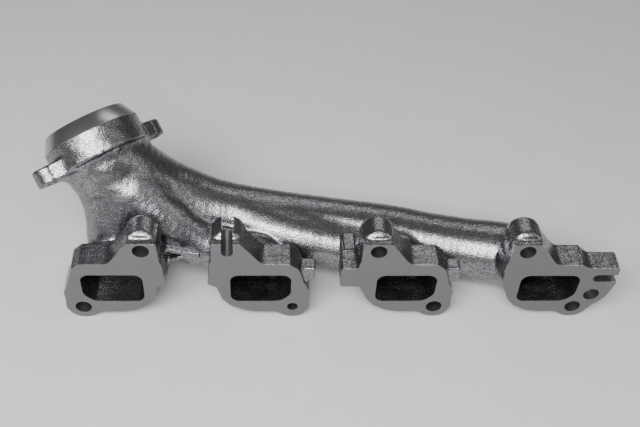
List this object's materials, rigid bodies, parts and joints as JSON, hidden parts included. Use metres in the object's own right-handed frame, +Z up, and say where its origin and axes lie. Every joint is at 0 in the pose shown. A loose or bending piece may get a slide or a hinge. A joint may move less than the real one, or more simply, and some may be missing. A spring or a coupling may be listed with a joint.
{
  "type": "exhaust manifold",
  "caption": "Cast iron exhaust manifold: a row of port flanges with swept runners joins a log that rises to an angled outlet with a cone seat.",
  "frame": {"origin": "midway between the two outermost lower bolt holes, on the plane of the port faces", "axes": "+X along the row of ports, away from the outlet end; +Y from the port faces back to the log; +Z up, from the lower bolts to the upper bolts"},
  "size_m": [0.4513, 0.123, 0.1423],
  "materials": {
    "cast_skin": "shot-blasted casting skin",
    "machined_pad": "face ground flat, cast skin at the edges",
    "turned_seat": "turned smooth"
  },
  "bodies": {
    "root": {"port_flange_1": "machined_pad", "port_flange_2": "machined_pad", "port_flange_3": "machined_pad", "port_flange_4": "machined_pad", "bolt_tower_1": "machined_pad", "bolt_tower_2": "machined_pad", "bolt_tower_3": "machined_pad", "bolt_tower_4": "machined_pad", "runner_1": "cast_skin", "runner_2": "cast_skin", "runner_3": "cast_skin", "runner_4": "cast_skin", "log_front": "cast_skin", "log_middle": "cast_skin", "log_rear": "cast_skin", "outlet_neck": "cast_skin", "outlet_flange": "cast_skin", "outlet_seat": "turned_seat", "end_bracket": "machined_pad", "side_tab_3": "machined_pad", "tie_bar_stub_2": "cast_skin", "tie_bar_stub_3": "cast_skin", "web_rib": "cast_skin"}
  },
  "joints": []
}
